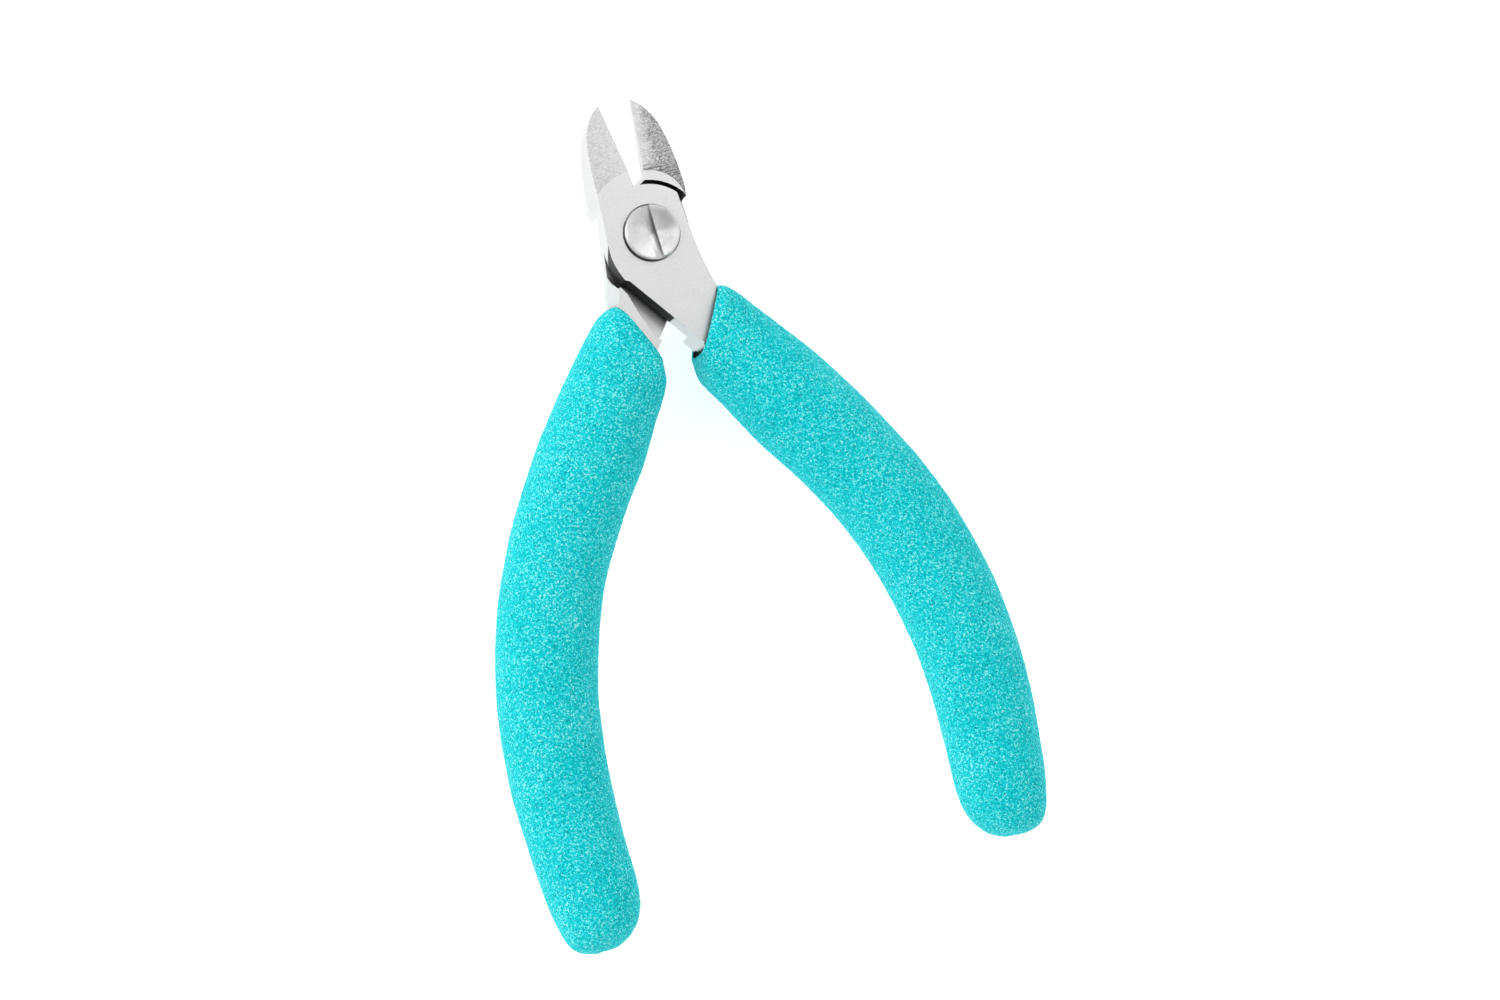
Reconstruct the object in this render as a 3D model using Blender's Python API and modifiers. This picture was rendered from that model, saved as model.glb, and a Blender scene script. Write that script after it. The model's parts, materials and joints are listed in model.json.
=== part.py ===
"""Flush cutter: two lapped steel levers that turn on a slotted joint screw, with foam grips.

Frame: +Z up, +Y towards the jaw tips, +X towards the handle of the front lever.
The cutter lies flat on its grips, front face up, sprung open; the origin is on the table
below the middle of its box.  Lengths are named in millimetres and MM turns them into metres.
Every lever outline is drawn closed, with the joint axis at its origin and the two cutting
edges on the line x = 0; SIDE mirrors it into the front (+1) or the rear (-1) lever.
"""
import math

import bmesh
import bpy
from mathutils import Matrix, Vector

MM = 0.001
WELD = 0.002                # points closer than this are one

# joint
OPEN_ANGLE = 13.2           # degrees between the levers, closed to sprung open
PIVOT_Y = 38.343            # joint axis, ahead of the middle of the box
MID_Z = 7.4                 # middle plane of the steel above the table: the largest grip radius
HALF = 3.75                 # half of the steel's thickness
LAP_GAP = 0.06              # each lapped face stands this far off the middle plane
BOSS_R = 7.0                # round end of each lapped plate
BOSS_CORNER_DEG = 37.6      # where the round end meets the palm side, from +X
SEAT_R = 7.6                # hollow in the other lever that the round end turns in
RAMP_R = 8.15               # foot of the ramp that rises behind the other lever's heel
RAMP_DEG = (205.0, 232.0)
BORE_R = 2.56               # running fit on the screw's shoulder
COUNTERBORE_FLOOR = 2.4     # height of the screw and nut seats above and below the middle plane

# jaws
TIP_Y = 19.8
EDGE_X = 0.05               # clearance of each cutting edge from the closing line
FRONT_GRIND_R = 9.25        # radius about the joint where the ground front of the jaws begins
FRONT_GRIND_DEG = 15.2
BACK_GRIND_R = 10.4         # the same on the back
BACK_GRIND_DEG = 18.0
BEVEL_DEG = 30.0            # slope of the wire groove behind the cutting edges
BEVEL_START_Y = 8.3         # the groove starts this far ahead of the joint axis
BEVEL_LAND = 1.75           # height of the cutting edge's land where the groove starts
BEVEL_REACH = 3.0           # the wedge that cuts the groove reaches this far past the edge
SECTOR_Y = 4.5              # only what is ahead of this line is ground
LIP_CENTRE = (-0.5, 3.7)    # circle that bounds the raised lip along the rear lever's seat
LIP_R = 5.25
LIP_DROP = (0.05, 0.32)     # the face falls this much past the lip, at the edge and 5.5 mm from it
LIP_WIDTH = 5.5
JAW_EASE = (4.0, 2.5)       # the jaws' swell fades in over these lengths at the tip and at the head
PALM_EASE = (5.0, 3.0)      # the same along the palm side of the head
PALM_END_Y = 5.0            # the palm side's swell ends here
WIDEST = {1: 0.0, 0: 0.85, -1: 0.55}  # swell of the outer walls in front, in the middle, behind

# spring pocket between the laps
POCKET_R = 4.75
POCKET_DEPTH = 1.4
LEG_HOLE_R = 0.55
LEG_HOLE_EXTRA = 0.2
SPRING_R = 3.75
SPRING_WIRE = 0.6
SPRING_TURNS = 2.5
SPRING_START_DEG = 20.0     # where the lower leg stands about the joint axis
SPRING_HALF_RISE = 0.95
SPRING_LEG_Z = 1.75
SPRING_BEND = 0.25          # rise from the last turn to the leg's corner

# joint screw, washer and nut
HEAD_R = 3.9
HEAD_TOP = HALF + 1.0
HEAD_BOTTOM = 3.05
HEAD_RIM = 0.3              # narrow flat rim around the dished face
DISH_DEPTH = 0.35
SLOT_WIDTH = 1.2
SLOT_FLOOR = HEAD_TOP - 1.75          # in the middle; the saw's round cut rises to both ends
SAW_R = 7.0
SLOT_TURN_DEG = 2.7
SHOULDER_R = 2.5
SHOULDER_END = -2.2
THREAD_R = 1.95
SCREW_END = -3.6
SCREW_CHAMFER = 0.3
WASHER = (2.6, 3.85, 2.42, 3.03)      # inner radius, outer radius, underside, top
NUT = (2.0, 3.6, -3.65, -2.42)
NUT_SLOT = (1.0, 0.45)                # width and depth
HEAD_SEAT_R = 4.15
NUT_SEAT_R = 3.7

# handles: a centreline that starts straight and bends inwards
HANDLE_START = (2.5, -11.5)
HANDLE_DEG = (27.7, -10.9)            # heading away from -Y at the head and at the end
BEND = (17.4, 83.8)                   # the bend's start and end along the centreline
TANG_END = 80.0
TANG_HALF_THICK = 2.75
TANG_STEP = 4.6                       # from here the steel is thinned for the grip
TANG_HALF_WIDTH = (3.4, 2.75, 2.25)   # at the head, past the step, at the end
TANG_TAPER = (4.0, 16.0, 76.0)        # where those three widths are reached along the centreline
TANG_POINT = (1.6, 1.2)               # the chamfered end: extra length, half width
MOUTH_DEG = 29.0                      # slant of the grip's mouth across the handle
MOUTH_AT = 2.9                        # mouth centre along the centreline
MOUTH_FADE = 14.0                     # length over which the slant fades out
GRIP_LENGTH = {1: 86.9, -1: 89.2}     # front and rear foam sleeves, mouth to closed end
BORE_CLEAR = 0.12
MOUTH_CLEAR = 0.5                     # looser around the thick steel at the mouth


def smooth(value):
    """Ease from 0 to 1."""
    value = min(1.0, max(0.0, value))
    return value * value * (3.0 - 2.0 * value)


def clear_scene():
    for obj in list(bpy.data.objects):
        bpy.data.objects.remove(obj, do_unlink=True)


def collection(name):
    group = bpy.data.collections.new(name)
    bpy.context.scene.collection.children.link(group)
    return group


def material(name, colour, roughness, metallic):
    made = bpy.data.materials.new(name)
    made.use_nodes = True
    shader = made.node_tree.nodes["Principled BSDF"]
    shader.inputs["Base Color"].default_value = (*colour, 1.0)
    shader.inputs["Roughness"].default_value = roughness
    shader.inputs["Metallic"].default_value = metallic
    return made


clear_scene()
PARTS = collection("flush_cutter")
CUTTERS = collection("cutters")


def empty(name, parent, location, turn=0.0):
    obj = bpy.data.objects.new(name, None)
    obj.empty_display_size = 5 * MM
    obj.location = Vector(location) * MM
    obj.rotation_euler = (0.0, 0.0, math.radians(turn))
    obj.parent = parent
    PARTS.objects.link(obj)
    return obj


def new_object(name, mesh, part_of=None, finish=None):
    """A visible part, or a hidden cutter when it has no finish, under its half's empty."""
    obj = bpy.data.objects.new(name, mesh)
    obj.parent = part_of
    if finish:
        mesh.materials.append(finish)
        PARTS.objects.link(obj)
    else:
        CUTTERS.objects.link(obj)
        obj.hide_render = True
        obj.display_type = "WIRE"
    return obj


def mesh_from_bmesh(name, bm):
    mesh = bpy.data.meshes.new(name)
    bmesh.ops.recalc_face_normals(bm, faces=bm.faces)
    bm.to_mesh(mesh)
    bm.free()
    return mesh


def curve_mesh(curve):
    """A bevelled or filled curve as a welded mesh."""
    holder = bpy.data.objects.new(curve.name, curve)
    CUTTERS.objects.link(holder)
    bpy.context.view_layer.update()
    graph = bpy.context.evaluated_depsgraph_get()
    mesh = bpy.data.meshes.new_from_object(holder.evaluated_get(graph))
    bpy.data.objects.remove(holder, do_unlink=True)
    bm = bmesh.new()
    bm.from_mesh(mesh)
    bmesh.ops.remove_doubles(bm, verts=bm.verts, dist=WELD * MM)
    bmesh.ops.recalc_face_normals(bm, faces=bm.faces)
    bm.to_mesh(mesh)
    bm.free()
    return mesh


def plate_mesh(name, points, low, high):
    """A flat outline in millimetres, filled and extruded between two heights."""
    curve = bpy.data.curves.new(name, "CURVE")
    curve.dimensions = "2D"
    curve.fill_mode = "BOTH"
    curve.extrude = (high - low) / 2 * MM
    spline = curve.splines.new("POLY")
    spline.points.add(len(points) - 1)
    for knot, (x, y) in zip(spline.points, points):
        knot.co = (x * MM, y * MM, 0.0, 1.0)
    spline.use_cyclic_u = True
    mesh = curve_mesh(curve)
    mesh.transform(Matrix.Translation((0, 0, (low + high) / 2 * MM)))
    return mesh


def loft_mesh(name, rings):
    """Closed body through rings of equal length, with a flat cap at each end."""
    bm = bmesh.new()
    loops = []
    for ring in rings:
        loops.append([bm.verts.new(Vector(point) * MM) for point in ring])
    count = len(rings[0])
    for lower, upper in zip(loops, loops[1:]):
        for i in range(count):
            j = (i + 1) % count
            bm.faces.new((lower[i], lower[j], upper[j], upper[i]))
    bmesh.ops.triangulate(bm, faces=bm.faces)
    bm.faces.new(reversed(loops[0]))
    bm.faces.new(loops[-1])
    return mesh_from_bmesh(name, bm)


def hull_mesh(name, points):
    """The convex body over a few corners."""
    bm = bmesh.new()
    for point in points:
        bm.verts.new(Vector(point) * MM)
    bmesh.ops.convex_hull(bm, input=bm.verts)
    return mesh_from_bmesh(name, bm)


def box_mesh(name, low, high):
    bm = bmesh.new()
    size = [(b - a) * MM for a, b in zip(low, high)]
    middle = [(a + b) / 2 * MM for a, b in zip(low, high)]
    bmesh.ops.create_cube(bm, size=1.0, matrix=Matrix.Translation(middle) @ Matrix.Diagonal((*size, 1.0)))
    return mesh_from_bmesh(name, bm)


def cylinder_mesh(name, radius, low, high, centre=(0.0, 0.0), sides=48):
    bm = bmesh.new()
    place = Matrix.Translation((centre[0] * MM, centre[1] * MM, (low + high) / 2 * MM))
    bmesh.ops.create_cone(bm, cap_ends=True, segments=sides, radius1=radius * MM,
                          radius2=radius * MM, depth=(high - low) * MM, matrix=place)
    return mesh_from_bmesh(name, bm)


def turned(name, profile, part_of=None, finish=None, steps=48):
    """A Screw modifier on a profile of (radius, height), outer side from top to bottom."""
    mesh = bpy.data.meshes.new(name)
    closed = profile[0][0] > 0.0
    edges = [(i, i + 1) for i in range(len(profile) - 1)]
    if closed:
        edges.append((len(profile) - 1, 0))
    mesh.from_pydata([(r * MM, 0.0, z * MM) for r, z in profile], edges, [])
    obj = new_object(name, mesh, part_of, finish)
    screw = obj.modifiers.new("turn", "SCREW")
    screw.axis = "Z"
    screw.steps = steps
    screw.render_steps = steps
    screw.use_smooth_shade = finish is not None
    screw.use_merge_vertices = True
    screw.merge_threshold = 0.00001
    return obj


def cut(target, *cutters):
    for cutter in cutters:
        boolean = target.modifiers.new(cutter.name, "BOOLEAN")
        boolean.operation = "DIFFERENCE"
        boolean.solver = "EXACT"
        boolean.object = cutter


def shade(obj, angle=32.0):
    obj.data.shade_smooth()
    obj.data.set_sharp_from_angle(angle=math.radians(angle))


def arc(radius, start, end, count):
    """Points on a circle about the joint axis, angles in degrees."""
    angles = [math.radians(start + (end - start) * i / count) for i in range(count + 1)]
    return [(radius * math.cos(a), radius * math.sin(a)) for a in angles]


def through(points, steps):
    """A smooth line through points (Catmull-Rom), without repeating the last one."""
    line = []
    padded = [points[0], *points, points[-1]]
    for a, b, c, d in zip(padded, padded[1:], padded[2:], padded[3:]):
        for i in range(steps):
            t = i / steps
            line.append(tuple(
                0.5 * (2 * q + (r - p) * t + (2 * p - 5 * q + 4 * r - s) * t * t
                       + (3 * q - p - 3 * r + s) * t ** 3)
                for p, q, r, s in zip(a, b, c, d)))
    return line


def mirrored(points, side):
    return [(side * x, y) for x, y in points]


# ---- handle centreline -------------------------------------------------------------------

def centreline(distance):
    """Point and heading of the handle's centreline at a distance from its start."""
    steps = max(1, int(abs(distance) * 2))
    x, y = HANDLE_START
    step = distance / steps
    for i in range(steps):
        turn = math.radians(heading((i + 0.5) * step))
        x += math.sin(turn) * step
        y -= math.cos(turn) * step
    return x, y, heading(distance)


def heading(distance):
    share = smooth((distance - BEND[0]) / (BEND[1] - BEND[0]))
    return HANDLE_DEG[0] + (HANDLE_DEG[1] - HANDLE_DEG[0]) * share


def beside(distance, offset):
    """Point beside the centreline; a positive offset is on the palm side."""
    x, y, turn = centreline(distance)
    turn = math.radians(turn)
    return x + offset * math.cos(turn), y + offset * math.sin(turn)


def tang_half_width(distance):
    head, middle, end = TANG_HALF_WIDTH
    start, past_step, far = TANG_TAPER
    narrowed = head + (middle - head) * smooth((distance - start) / (past_step - start))
    return narrowed + (end - middle) * smooth((distance - past_step) / (far - past_step))


# ---- levers ------------------------------------------------------------------------------

JAW_EDGE = [(-EDGE_X, TIP_Y), (-0.75, 19.4), (-1.83, 18.3), (-3.0, 16.1), (-3.95, 13.6),
            (-4.85, 10.4), (-5.4, 7.8), (-5.65, 6.4), (-5.75, 5.4)]
HEAD_LEFT = [(-5.85, 4.6), (-6.3, 2.0), (-6.55, 0.0), (-6.72, -1.8), (-6.45, -3.6), (-6.0, -5.1)]
HEEL = (-5.4, -5.5)
HANDLE_NECK = (1.35, -16.6)
PALM_EDGE = [(7.05, -12.4), (6.15, -9.8), (5.75, -7.2), (5.55, -4.5), (5.48, 0.0), (5.52, 2.6)]


def lever_outline(height):
    """Outline of the whole lever at the front (+1), middle (0) or back (-1) of the steel."""
    jaw = through(JAW_EDGE, 4)
    points = []
    for x, y in jaw:
        share = smooth((TIP_Y - y) / JAW_EASE[0]) * smooth((y - HEAD_LEFT[0][1]) / JAW_EASE[1])
        points.append((x - WIDEST[height] * share, y))
    points += through(HEAD_LEFT, 2) + [HEAD_LEFT[-1], HEEL, HANDLE_NECK]
    inner = [beside(s, -tang_half_width(s)) for s in range(6, int(TANG_END) + 1, 6)]
    outer = [beside(s, tang_half_width(s)) for s in range(int(TANG_END) - 2, 5, -6)]
    extra, point_half = TANG_POINT
    points += inner + [beside(TANG_END + extra, -point_half), beside(TANG_END + extra, point_half)] + outer
    for x, y in PALM_EDGE:
        share = smooth((y - PALM_EDGE[0][1]) / PALM_EASE[0]) * smooth((PALM_END_Y - y) / PALM_EASE[1])
        points.append((x + WIDEST[height] * share, y))
    points += arc(BOSS_R, BOSS_CORNER_DEG, math.degrees(math.acos(-EDGE_X / BOSS_R)), 9)
    return points


def recess_outline(raised):
    """The part of a lever that is milled away for the other lever's plate.

    raised is 0 at the lap and 1 at the outer face: the foot of the ramp and its top."""
    ramp_foot = arc(RAMP_R, *RAMP_DEG, 3)
    ramp_top = [(-7.4, -7.6), (-6.4, -7.6), (-5.9, -7.45), (-5.42, -7.31)]
    ramp = [(a[0] + (b[0] - a[0]) * raised, a[1] + (b[1] - a[1]) * raised)
            for a, b in zip(ramp_foot, ramp_top)]
    ridge = [(-4.57, -8.4), (-3.24, -11.46), (-1.54, -14.6), (-1.1, -15.05), (-0.5, -15.3), (2.5, -15.3)]
    far = [(12.0, -9.0), (12.0, 5.0)]
    hollow = arc(SEAT_R, 20.0, 160.0, 16)
    beyond = [(-12.0, 4.0), (-12.0, -1.0), (-9.5, -3.2)]
    return mirrored(beyond[2:] + ramp + ridge + far + hollow + beyond[:2], -1)


def level(points, height):
    return [(x, y, height) for x, y in points]


def grind_cutter(name, parent, start, degrees, face):
    """Cone about the joint axis that slopes one face of a jaw towards its tip."""
    reach = 24.0
    drop = math.tan(math.radians(degrees)) * (reach - start)
    profile = [(start, HALF + 1.5), (reach, HALF + 1.5), (reach, HALF - drop), (start, HALF)]
    if face < 0:
        profile = [(r, -z) for r, z in reversed(profile)]
    cone = turned(name, profile, parent, steps=64)
    sector = new_object(name + "_sector", box_mesh(name, (-20, SECTOR_Y, -9), (20, 24, 9)), parent)
    keep = cone.modifiers.new("sector", "BOOLEAN")
    keep.operation = "INTERSECT"
    keep.solver = "EXACT"
    keep.object = sector
    return cone


def groove_cutter(name, side, parent):
    """Wedge that slopes the inner side of a jaw back from its cutting edge."""
    slope = math.tan(math.radians(BEVEL_DEG))
    corners = []
    bottom = -HALF - 1.0
    for y, top in ((BEVEL_START_Y, BEVEL_LAND), (TIP_Y + 1.0, 0.0)):
        corners += [(side * BEVEL_REACH, y, top), (-side * EDGE_X, y, top),
                    (side * BEVEL_REACH, y, bottom),
                    (-side * (EDGE_X + slope * (top - bottom)), y, bottom)]
    return new_object(name, hull_mesh(name, corners), parent)


def lip_cutter(name, side, parent):
    """Lowers the front face past the seat's lip, more so towards the outer wall."""
    x, y = LIP_CENTRE
    bound = [(x + u, y + v) for u, v in arc(LIP_R, 70.0, 170.0, 14)]
    bound += [(-9.0, bound[-1][1]), (-9.0, 11.5), (1.5, 11.5)]
    shallow, deep = LIP_DROP
    fall = (deep - shallow) / LIP_WIDTH
    low = [(side * u, v, HALF - shallow + fall * u) for u, v in bound]
    high = [(u, v, HALF + 1.0) for u, v, _ in low]
    return new_object(name, loft_mesh(name, [low, high]), parent)


def tang_slabs(name, side, parent):
    """Two boxes that thin the steel above and below, from inside the grip's mouth on."""
    slabs = []
    x, y, turn = centreline(TANG_STEP)
    for face in (1, -1):
        low, high = sorted((face * TANG_HALF_THICK, face * (HALF + 1.0)))
        slab = new_object(f"{name}_{face}", box_mesh(name, (-45, -110, low), (45, 0, high)), parent)
        slab.location = (side * x * MM, y * MM, 0.0)
        slab.rotation_euler = (0.0, 0.0, side * math.radians(turn))
        slabs.append(slab)
    return slabs


def lever(name, side, parent, finish):
    """side +1: front lever, its plate above the middle plane.  side -1: rear lever."""
    rings = []
    for height in (-1, 0, 1):
        rings.append(level(mirrored(lever_outline(height), side), height * HALF))
    body = new_object(name, loft_mesh(name, rings), parent, finish)

    lap = side * LAP_GAP
    outer = -side * (HALF + 1.0)
    foot = level(mirrored(recess_outline(0), side), lap)
    top = level(mirrored(recess_outline(1), side), -side * HALF)
    above = level(mirrored(recess_outline(1), side), outer)
    recess = new_object(name + "_recess", loft_mesh(name + "_recess", [foot, top, above]), parent)
    cut(body, recess)

    for face, start, degrees in ((1, FRONT_GRIND_R, FRONT_GRIND_DEG), (-1, BACK_GRIND_R, BACK_GRIND_DEG)):
        cut(body, grind_cutter(f"{name}_grind_{face}", parent, start, degrees, face))
    cut(body, groove_cutter(name + "_groove", side, parent))
    if side < 0:
        cut(body, lip_cutter(name + "_lip", side, parent))
    cut(body, *tang_slabs(name + "_slab", side, parent))

    seat = HEAD_SEAT_R if side > 0 else NUT_SEAT_R
    low, high = sorted((side * COUNTERBORE_FLOOR, side * (HALF + 1.0)))
    bore = cylinder_mesh(name + "_bore", BORE_R, -HALF - 1, HALF + 1)
    counterbore = cylinder_mesh(name + "_counterbore", seat, low, high)
    low, high = sorted((-side * 1.0, side * POCKET_DEPTH))
    pocket = cylinder_mesh(name + "_pocket", POCKET_R, low, high)
    low, high = sorted((side * 1.0, side * (SPRING_LEG_Z + LEG_HOLE_EXTRA)))
    leg = spring_leg_place(side)
    leg_hole = cylinder_mesh(name + "_leg_hole", LEG_HOLE_R, low, high, leg, sides=16)
    for mesh in (bore, counterbore, pocket, leg_hole):
        cut(body, new_object(mesh.name, mesh, parent))
    shade(body)
    return body


# ---- spring, screw, washer and nut -------------------------------------------------------

def spring_leg_place(side):
    """Where the return spring's leg enters a lever, in that lever's own closed frame."""
    wound = 360.0 * SPRING_TURNS if side > 0 else 0.0
    angle = math.radians(SPRING_START_DEG + wound - side * OPEN_ANGLE / 2)
    return SPRING_R * math.cos(angle), SPRING_R * math.sin(angle)


def return_spring(parent, finish):
    """Torsion coil around the screw's shoulder, with a leg bent into each lever."""
    points = []
    turns = int(SPRING_TURNS * 16)
    for i in range(turns + 1):
        share = i / turns
        angle = math.radians(SPRING_START_DEG + 360.0 * SPRING_TURNS * share)
        height = SPRING_HALF_RISE * (2 * share - 1)
        points.append((SPRING_R * math.cos(angle), SPRING_R * math.sin(angle), height))
    first, last = points[0], points[-1]
    points = [(first[0], first[1], -SPRING_LEG_Z), (first[0], first[1], first[2] - SPRING_BEND),
              *points[1:-1],
              (last[0], last[1], last[2] + SPRING_BEND), (last[0], last[1], SPRING_LEG_Z)]
    curve = bpy.data.curves.new("return_spring", "CURVE")
    curve.dimensions = "3D"
    curve.bevel_depth = SPRING_WIRE / 2 * MM
    curve.bevel_resolution = 2
    curve.use_fill_caps = True
    spline = curve.splines.new("POLY")
    spline.points.add(len(points) - 1)
    for knot, point in zip(spline.points, points):
        knot.co = (*(c * MM for c in point), 1.0)
    spring = new_object("return_spring", curve_mesh(curve), parent, finish)
    shade(spring)
    return spring


def joint_screw(parent, finish):
    """Dished slotted head, bearing shoulder and threaded end."""
    rim = HEAD_R - HEAD_RIM
    dish = [(rim * i / 6, HEAD_TOP - DISH_DEPTH * (1.0 - (i / 6) ** 2)) for i in range(7)]
    profile = dish + [(HEAD_R - 0.15, HEAD_TOP), (HEAD_R, HEAD_TOP - 0.15),
                      (HEAD_R, HEAD_BOTTOM), (SHOULDER_R, HEAD_BOTTOM), (SHOULDER_R, SHOULDER_END),
                      (THREAD_R, SHOULDER_END), (THREAD_R, SCREW_END + SCREW_CHAMFER),
                      (THREAD_R - SCREW_CHAMFER, SCREW_END), (0.0, SCREW_END)]
    screw = turned("joint_screw", profile, parent, finish)
    half = SLOT_WIDTH / 2
    slot = new_object("screw_slot", cylinder_mesh("screw_slot", SAW_R, -half, half, sides=96), parent.parent)
    slot.location = (0.0, 0.0, (SLOT_FLOOR + SAW_R) * MM)
    slot.rotation_euler = (0.0, math.radians(90.0), math.radians(SLOT_TURN_DEG))
    cut(screw, slot)
    shade(screw)
    return screw


def ring(name, size, parent, finish):
    """A flat turned ring: inner radius, outer radius, underside and top."""
    inner, outer, low, high = size
    made = turned(name, [(inner, high), (outer, high), (outer, low), (inner, low)], parent, finish)
    shade(made)
    return made


def lock_nut(parent, finish):
    """Flush round nut on the back, with a spanner slot across it."""
    nut = ring("lock_nut", NUT, parent, finish)
    width, depth = NUT_SLOT
    slot_box = box_mesh("nut_slot", (-6, -width / 2, -6), (6, width / 2, NUT[2] + depth))
    slot = new_object("nut_slot", slot_box, parent)
    cut(nut, slot)
    return nut


# ---- foam grips --------------------------------------------------------------------------

# distance from the mouth, reach on the inner side, reach on the palm side
GRIP_PROFILE = [(0.0, 5.1, 4.4), (0.9, 5.95, 5.0), (2.2, 6.55, 5.55), (5.0, 6.9, 6.2), (9.0, 7.0, 6.7),
                (13.0, 7.3, 7.1), (18.0, 7.5, 7.3), (26.0, 7.2, 7.3), (36.0, 7.1, 7.25), (50.0, 7.1, 7.1),
                (64.0, 6.9, 6.95), (73.0, 6.65, 6.7)]
# the same from the closed end, which is rounded over and leans away from the inner side
GRIP_END = [(9.0, 6.4, 6.5), (7.0, 6.2, 6.35), (5.0, 5.85, 6.1), (3.0, 4.95, 5.7), (1.6, 3.8, 5.1),
            (0.6, 2.5, 4.0), (0.0, 0.9, 2.4)]


def grip_ring(from_mouth, inner, outer, sides=24):
    """Section of the sleeve: slanted and squarish at the mouth, round further on."""
    slant = math.radians(MOUTH_DEG * (1.0 - smooth(from_mouth / MOUTH_FADE)))
    square = 2.0 + 1.2 * (1.0 - smooth(from_mouth / 6.0))
    x, y, turn = centreline(MOUTH_AT + from_mouth)
    across = math.radians(turn) + slant
    half = (inner + outer) / 2
    shift = (outer - inner) / 2
    ring_points = []
    for i in range(sides):
        angle = 2 * math.pi * i / sides
        c, s = math.cos(angle), math.sin(angle)
        u = (shift + math.copysign(abs(c) ** (2 / square), c) * half) / math.cos(slant)
        w = math.copysign(abs(s) ** (2 / square), s) * half
        ring_points.append((x + u * math.cos(across), y + u * math.sin(across), w))
    return ring_points


# the mouth's cavity follows the lever's neck: its palm side and its inner side
NECK_PALM = [(6.95, -6.0), (7.1, -9.8), (7.6, -12.4)]
NECK_INNER = (-5.8, -5.7)


def grip(name, side, parent, finish):
    """Closed foam sleeve with a blind bore that the steel slides into."""
    length = GRIP_LENGTH[side]
    rows = GRIP_PROFILE + [(length - left, inner, outer) for left, inner, outer in GRIP_END]
    rows = through(rows, 2) + rows[-1:]
    rings = [[(side * x, y, z) for x, y, z in grip_ring(*row)] for row in rows]
    body = new_object(name, loft_mesh(name, rings), parent, finish)

    inner = [beside(s, -tang_half_width(s) - BORE_CLEAR) for s in range(0, int(TANG_END) + 1, 5)]
    outer = [beside(s, tang_half_width(s) + BORE_CLEAR) for s in range(int(TANG_END), -1, -5)]
    extra, point_half = TANG_POINT
    end = [beside(TANG_END + extra + 0.5, across) for across in (-point_half - 0.3, point_half + 0.3)]
    thin = TANG_HALF_THICK + BORE_CLEAR
    bore = plate_mesh(name + "_bore", mirrored(inner + end + outer, side), -thin, thin)
    cut(body, new_object(bore.name, bore, parent))

    deep = TANG_STEP + 0.4
    reach = tang_half_width(deep) + MOUTH_CLEAR
    neck = NECK_PALM + [beside(deep, reach), beside(deep, -reach), NECK_INNER]
    thick = HALF + MOUTH_CLEAR
    mouth = plate_mesh(name + "_mouth", mirrored(neck, side), -thick, thick)
    cut(body, new_object(mouth.name, mouth, parent))
    shade(body, 60.0)
    return body


# ---- assembly ----------------------------------------------------------------------------

def build():
    steel = material("satin_steel", (0.66, 0.66, 0.65), 0.34, 1.0)
    turned_steel = material("turned_steel", (0.70, 0.70, 0.69), 0.26, 1.0)
    spring_steel = material("spring_steel", (0.45, 0.45, 0.46), 0.30, 1.0)
    foam = material("turquoise_foam", (0.03, 0.62, 0.66), 0.85, 0.0)

    axis = empty("joint_axis", None, (0.0, PIVOT_Y, MID_Z))
    rear = empty("rear_half_axis", axis, (0, 0, 0), -OPEN_ANGLE / 2)
    front = empty("front_half_axis", axis, (0, 0, 0), OPEN_ANGLE / 2)

    lever("front_lever", 1, front, steel)
    lever("rear_lever", -1, rear, steel)
    joint_screw(rear, turned_steel)
    ring("spring_washer", WASHER, rear, spring_steel)
    lock_nut(rear, turned_steel)
    return_spring(axis, spring_steel)
    grip("front_grip", 1, front, foam)
    grip("rear_grip", -1, rear, foam)


build()
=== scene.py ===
"""Flush cutter: materials, foam grips, stage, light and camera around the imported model.

Everything is in metres in the model's own frame: +Z out of the front face, +Y towards the jaw
tips, +X towards the front lever's handle.  Sizes below are named in millimetres.
"""

import json
import math

import bmesh
import bpy
from mathutils import Euler, Matrix, Vector, noise


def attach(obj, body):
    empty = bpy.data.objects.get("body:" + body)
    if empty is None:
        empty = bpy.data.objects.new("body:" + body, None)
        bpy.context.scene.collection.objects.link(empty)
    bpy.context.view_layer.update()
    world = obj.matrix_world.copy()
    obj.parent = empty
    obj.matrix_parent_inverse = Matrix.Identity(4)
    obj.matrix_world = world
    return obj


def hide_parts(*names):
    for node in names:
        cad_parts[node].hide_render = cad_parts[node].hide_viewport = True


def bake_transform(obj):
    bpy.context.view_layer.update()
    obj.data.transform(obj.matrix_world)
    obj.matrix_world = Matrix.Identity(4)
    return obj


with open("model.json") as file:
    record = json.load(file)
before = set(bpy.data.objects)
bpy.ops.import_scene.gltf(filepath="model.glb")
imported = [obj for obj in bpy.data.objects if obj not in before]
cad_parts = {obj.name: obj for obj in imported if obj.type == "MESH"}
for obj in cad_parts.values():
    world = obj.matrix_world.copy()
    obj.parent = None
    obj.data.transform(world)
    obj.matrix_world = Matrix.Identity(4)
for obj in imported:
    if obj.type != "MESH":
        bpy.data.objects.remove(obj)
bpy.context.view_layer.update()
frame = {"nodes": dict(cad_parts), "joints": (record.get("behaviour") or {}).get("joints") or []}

MM = 0.001
JOINT = Vector(frame["joints"][0]["pos_m"])
HALF_OPEN_DEG = 6.6         # each lever stands this far open from the closed line
FRONT, REAR = 1, -1         # the two halves, as the sign of x on their handle's side

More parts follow.
